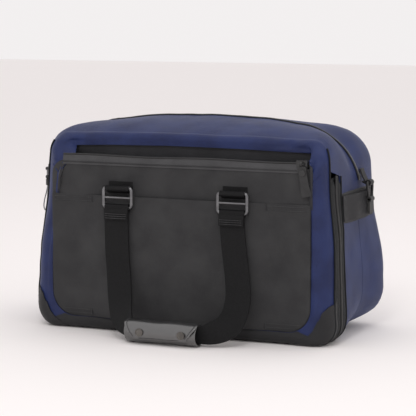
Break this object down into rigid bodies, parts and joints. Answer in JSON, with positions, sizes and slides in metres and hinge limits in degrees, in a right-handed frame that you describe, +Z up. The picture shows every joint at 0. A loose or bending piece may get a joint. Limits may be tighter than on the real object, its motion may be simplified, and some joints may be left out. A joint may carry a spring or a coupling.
{
  "type": "soft carry-on bag",
  "caption": "Boxy soft carry-on bag with an open laptop pocket, luggage sleeve, webbing handles on ladder buckles and zips.",
  "frame": {"origin": "centre of the base on the floor", "axes": "+Z up, +X to the bag's right seen from the front, the laptop pocket faces -Y"},
  "size_m": [0.4874, 0.3828, 0.315],
  "materials": {
    "nylon_blue": "plain woven nylon, satin",
    "nylon_black": "ballistic weave nylon, matte",
    "lining": "padded polyester lining",
    "facing_grey": "light grey zip tape",
    "zip_coil": "nylon coil on woven tape",
    "stiffener": "polypropylene board",
    "webbing": "woven nylon webbing",
    "gunmetal": "gunmetal plated die casting",
    "leather": "smooth black leather, satin",
    "rubber_pull": "moulded rubber",
    "snap_metal": "antique nickel snap",
    "hard_plastic": "moulded acetal",
    "cord": "braided grey cord"
  },
  "bodies": {
    "shell": {"base_panel": "nylon_black", "base_board": "stiffener", "side_panel_left": "nylon_blue", "side_panel_right": "nylon_blue", "back_panel": "nylon_blue", "top_front_panel": "nylon_blue", "gusset_rear": "nylon_black", "gusset_zip_rear": "zip_coil", "expansion_bellows": "nylon_black", "main_zip_front": "zip_coil", "pocket_rear_facing": "nylon_black", "side_handle_left": "webbing", "side_handle_right": "webbing", "side_handle_bases": "nylon_black", "ring_loops": "webbing", "rear_buckle_loops": "webbing"},
    "front_section": {"border_left": "nylon_blue", "border_right": "nylon_blue", "corner_patch_left": "nylon_black", "corner_patch_right": "nylon_black", "front_base_strip": "nylon_black", "pocket_panel": "nylon_black", "luggage_sleeve": "nylon_black", "pocket_facing": "facing_grey", "pocket_zip_coil": "zip_coil", "pocket_divider": "lining", "front_buckle_loops": "webbing", "gusset_front": "nylon_black", "gusset_zip_front": "zip_coil"},
    "rear_flap": {"top_rear_panel": "nylon_blue", "main_zip_rear": "zip_coil"},
    "main_slider_body": {"main_slider": "gunmetal"},
    "main_puller_body": {"main_puller": "gunmetal"},
    "laptop_slider_body": {"laptop_slider": "gunmetal"},
    "laptop_puller_body": {"laptop_puller": "rubber_pull", "laptop_puller_rivet": "gunmetal"},
    "gusset_slider_body": {"gusset_slider": "gunmetal"},
    "cord_pull": {"cord_link": "gunmetal", "cord_bead": "hard_plastic", "cord_toggle": "hard_plastic", "cord_loop": "cord"},
    "buckle_front_left": {"front_buckle_left": "gunmetal"},
    "buckle_front_right": {"front_buckle_right": "gunmetal"},
    "front_handle": {"front_strap_left": "webbing", "front_strap_right": "webbing", "grip_core": "webbing", "leather_grip": "leather"},
    "grip_closure": {"grip_flap": "leather", "snap_studs": "snap_metal"},
    "buckle_rear_left": {"rear_buckle_left": "gunmetal"},
    "buckle_rear_right": {"rear_buckle_right": "gunmetal"},
    "rear_handle": {"rear_strap_left": "webbing", "rear_strap_right": "webbing", "rear_hand_loop": "webbing"},
    "strap_ring_left": {"ring_left": "hard_plastic"},
    "strap_ring_right": {"ring_right": "hard_plastic"},
    "tag": {"label_tag": "leather"}
  },
  "joints": [
    {"name": "expansion", "type": "hinge", "parent": "shell", "child": "front_section", "pos_m": [0, -0.084, 0.247], "axis": [-1, 0, 0], "range_deg": [0, 8]},
    {"name": "mouth", "type": "hinge", "parent": "shell", "child": "rear_flap", "pos_m": [0, 0.112, 0.25], "axis": [-1, 0, 0], "range_deg": [0, 60]},
    {"name": "main_zip_run", "type": "slide", "parent": "rear_flap", "child": "main_slider_body", "axis": [0.0546, -0.2765, 0.9595], "range_m": [0, 0.036]},
    {"name": "main_puller_swing", "type": "hinge", "parent": "main_slider_body", "child": "main_puller_body", "pos_m": [-0.23169, 0.01673, 0.24844], "axis": [0.0157, 0.961, 0.276], "range_deg": [0, 150]},
    {"name": "laptop_zip_run", "type": "slide", "parent": "front_section", "child": "laptop_slider_body", "axis": [-1, 0, 0], "range_m": [0, 0.37]},
    {"name": "laptop_puller_swing", "type": "hinge", "parent": "laptop_slider_body", "child": "laptop_puller_body", "pos_m": [0.19, -0.11785, 0.257], "axis": [-1, 0, 0], "range_deg": [0, 150]},
    {"name": "gusset_zip_run", "type": "slide", "parent": "shell", "child": "gusset_slider_body", "axis": [-0.0568, 0, -0.9984], "range_m": [0, 0.15]},
    {"name": "cord_pull_swing", "type": "hinge", "parent": "gusset_slider_body", "child": "cord_pull", "pos_m": [-0.23265, -0.072, 0.23144], "axis": [0, 1, 0], "range_deg": [0, 120]},
    {"name": "front_handle_lift", "type": "hinge", "parent": "front_section", "child": "buckle_front_left", "pos_m": [-0.09, -0.124, 0.2122], "axis": [-1, 0, 0], "range_deg": [0, 150]},
    {"name": "front_handle_lift_right", "type": "hinge", "parent": "front_section", "child": "buckle_front_right", "pos_m": [0.09, -0.124, 0.2122], "axis": [-1, 0, 0], "range_deg": [0, 150]},
    {"name": "front_handle_swing", "type": "hinge", "parent": "buckle_front_left", "child": "front_handle", "pos_m": [-0.09, -0.124, 0.1858], "axis": [-1, 0, 0], "range_deg": [0, 30]},
    {"name": "grip_flap_open", "type": "hinge", "parent": "front_handle", "child": "grip_closure", "pos_m": [0.006, -0.175, 0.0327], "axis": [-1, 0, 0], "range_deg": [0, 90]},
    {"name": "rear_handle_lift", "type": "hinge", "parent": "shell", "child": "buckle_rear_left", "pos_m": [-0.09, 0.124, 0.2122], "axis": [1, 0, 0], "range_deg": [0, 130]},
    {"name": "rear_handle_lift_right", "type": "hinge", "parent": "shell", "child": "buckle_rear_right", "pos_m": [0.09, 0.124, 0.2122], "axis": [1, 0, 0], "range_deg": [0, 130]},
    {"name": "rear_handle_swing", "type": "hinge", "parent": "buckle_rear_left", "child": "rear_handle", "pos_m": [-0.09, 0.124, 0.1858], "axis": [1, 0, 0], "range_deg": [0, 20]},
    {"name": "ring_left_swing", "type": "hinge", "parent": "shell", "child": "strap_ring_left", "pos_m": [-0.23913, 0.035, 0.21977], "axis": [0, 1, 0], "range_deg": [0, 120]},
    {"name": "ring_right_swing", "type": "hinge", "parent": "shell", "child": "strap_ring_right", "pos_m": [0.23913, 0.035, 0.21977], "axis": [0, -1, 0], "range_deg": [0, 120]},
    {"name": "tag_swing", "type": "hinge", "parent": "strap_ring_right", "child": "tag", "pos_m": [0.24049, 0.035, 0.19581], "axis": [0, -1, 0], "range_deg": [0, 60]}
  ],
  "couplings": [
    {"joint": "front_handle_lift_right", "follows": "front_handle_lift", "ratio": 1},
    {"joint": "rear_handle_lift_right", "follows": "rear_handle_lift", "ratio": 1}
  ]
}
